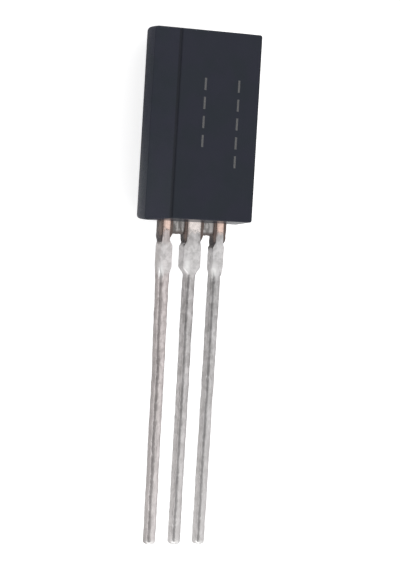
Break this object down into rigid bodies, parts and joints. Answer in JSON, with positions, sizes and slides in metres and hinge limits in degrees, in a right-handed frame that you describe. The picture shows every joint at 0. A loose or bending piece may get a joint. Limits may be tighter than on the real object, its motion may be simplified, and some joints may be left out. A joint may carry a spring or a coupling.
{
  "type": "three-lead transistor, long moulded outline",
  "caption": "Black moulded transistor with a flat front, a round back and straight tinned leads in line.",
  "frame": {"origin": "on the surface the part lies on, under the middle of its whole length and between its sides", "axes": "+X across the leads from the emitter lead to the base lead, +Y from the lead tips to the head of the body, +Z out of the flat marked face; the part lies on its round back"},
  "size_m": [0.0046, 0.0214, 0.0038],
  "materials": {
    "epoxy": "satin black moulding compound with a fine grain",
    "tinned_lead": "matt tin plating, scuffed, with bare copper at the body",
    "silicon": "polished silicon with metal contacts",
    "attach_paste": "cured silver paste",
    "gold_wire": "bright drawn gold"
  },
  "bodies": {
    "root": {"moulded_body": "epoxy", "emitter_lead": "tinned_lead", "collector_lead": "tinned_lead", "base_lead": "tinned_lead", "silicon_die": "silicon", "die_attach": "attach_paste", "emitter_bond_wire": "gold_wire", "base_bond_wire": "gold_wire"}
  },
  "joints": []
}
